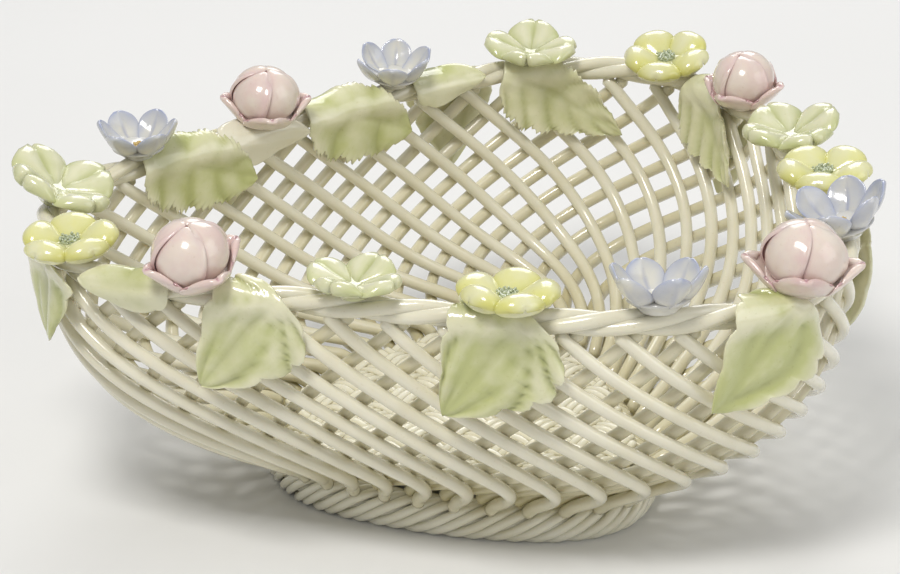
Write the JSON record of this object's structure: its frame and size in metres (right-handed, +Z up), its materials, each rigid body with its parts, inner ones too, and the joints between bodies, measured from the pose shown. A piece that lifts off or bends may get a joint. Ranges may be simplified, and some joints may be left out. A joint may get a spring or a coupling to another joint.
{
  "type": "openwork porcelain basket",
  "caption": "Footed egg-shaped basket of crossed porcelain strands with a roped rim, a roped foot, and modelled blossoms and leaves set round the rim.",
  "frame": {"origin": "middle of the footprint of the whole basket, on the surface its foot stands on", "axes": "+X along the length of the egg-shaped plan towards its blunt end, +Z up"},
  "size_m": [0.2124, 0.19, 0.0938],
  "materials": {
    "ivory_glaze": "glossy clear glaze over ivory porcelain",
    "leaf_green_glaze": "glossy, tinted yellow-green that fades to ivory",
    "pale_green_glaze": "glossy, tinted pale green",
    "lemon_glaze": "glossy, tinted lemon at the petal tips",
    "sage_centre": "grainy, tinted sage green",
    "sky_blue_glaze": "glossy, tinted pale blue at the petal tips",
    "amber_centre": "grainy, tinted amber",
    "shell_pink_glaze": "glossy, tinted shell pink"
  },
  "bodies": {
    "root": {"foot_ring": "ivory_glaze", "base_mat": "ivory_glaze", "outer_strands_1": "ivory_glaze", "inner_strands_1": "ivory_glaze", "outer_strands_2": "ivory_glaze", "inner_strands_2": "ivory_glaze", "outer_strands_3": "ivory_glaze", "inner_strands_3": "ivory_glaze", "outer_strands_4": "ivory_glaze", "inner_strands_4": "ivory_glaze", "outer_strands_5": "ivory_glaze", "inner_strands_5": "ivory_glaze", "outer_strands_6": "ivory_glaze", "inner_strands_6": "ivory_glaze", "rim_rope": "ivory_glaze", "leaf_inside_left": "leaf_green_glaze", "leaf_inside_back_left": "leaf_green_glaze", "leaf_inside_back": "leaf_green_glaze", "leaf_inside_right": "leaf_green_glaze", "leaf_outside_left_end": "leaf_green_glaze", "leaf_outside_front_left": "leaf_green_glaze", "leaf_outside_front": "leaf_green_glaze", "leaf_outside_front_right": "leaf_green_glaze", "leaf_outside_right_end": "leaf_green_glaze", "leaf_outside_back_right": "leaf_green_glaze", "leaf_outside_back": "leaf_green_glaze", "leaf_outside_back_left": "leaf_green_glaze", "leaf_on_rim_back": "leaf_green_glaze", "leaf_on_rim_front_left": "leaf_green_glaze", "green_blossom_1_petals": "pale_green_glaze", "pink_blossom_2_collar": "shell_pink_glaze", "pink_blossom_2_bud": "shell_pink_glaze", "yellow_blossom_3_petals": "lemon_glaze", "yellow_blossom_3_stamens": "sage_centre", "green_blossom_4_petals": "pale_green_glaze", "blue_blossom_5_petals": "sky_blue_glaze", "blue_blossom_5_stamens": "amber_centre", "pink_blossom_6_collar": "shell_pink_glaze", "pink_blossom_6_bud": "shell_pink_glaze", "blue_blossom_7_petals": "sky_blue_glaze", "blue_blossom_7_stamens": "amber_centre", "green_blossom_8_petals": "pale_green_glaze", "yellow_blossom_9_petals": "lemon_glaze", "yellow_blossom_9_stamens": "sage_centre", "pink_blossom_10_collar": "shell_pink_glaze", "pink_blossom_10_bud": "shell_pink_glaze", "green_blossom_11_petals": "pale_green_glaze", "yellow_blossom_12_petals": "lemon_glaze", "yellow_blossom_12_stamens": "sage_centre", "blue_blossom_13_petals": "sky_blue_glaze", "blue_blossom_13_stamens": "amber_centre", "pink_blossom_14_collar": "shell_pink_glaze", "pink_blossom_14_bud": "shell_pink_glaze", "blue_blossom_15_petals": "sky_blue_glaze", "blue_blossom_15_stamens": "amber_centre", "yellow_blossom_16_petals": "lemon_glaze", "yellow_blossom_16_stamens": "sage_centre"}
  },
  "joints": []
}
